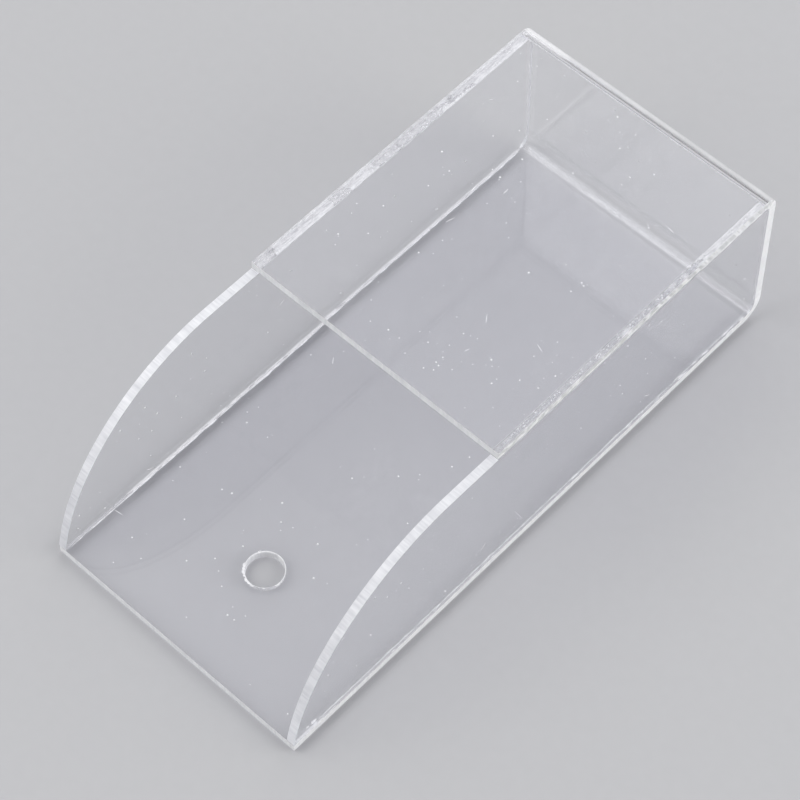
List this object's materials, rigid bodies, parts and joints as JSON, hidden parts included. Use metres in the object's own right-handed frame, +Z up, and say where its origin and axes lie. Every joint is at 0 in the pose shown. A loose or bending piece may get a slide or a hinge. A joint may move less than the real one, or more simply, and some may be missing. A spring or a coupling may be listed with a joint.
{
  "type": "clear acrylic open-fronted holder",
  "caption": "Clear acrylic open-fronted holder: a sheet folded into a long base, an end and a shorter cover, with curved side plates cemented in and a round hanging hole.",
  "frame": {"origin": "middle of the base's underside, where the holder rests flat", "axes": "+Z up from the base towards the cover, +Y along the base from the open front to the closed end, +X across to the right side plate"},
  "size_m": [0.097, 0.208, 0.06],
  "materials": {
    "clear_acrylic": "clear cast sheet, polished faces, sawn edges left matt",
    "cement": "clear set solvent cement with trapped air bubbles"
  },
  "bodies": {
    "root": {"folded_sheet": "clear_acrylic", "left_side": "clear_acrylic", "right_side": "clear_acrylic", "left_base_seam": "cement", "right_base_seam": "cement", "left_end_seam": "cement", "right_end_seam": "cement", "left_cover_seam": "cement", "right_cover_seam": "cement"}
  },
  "joints": []
}
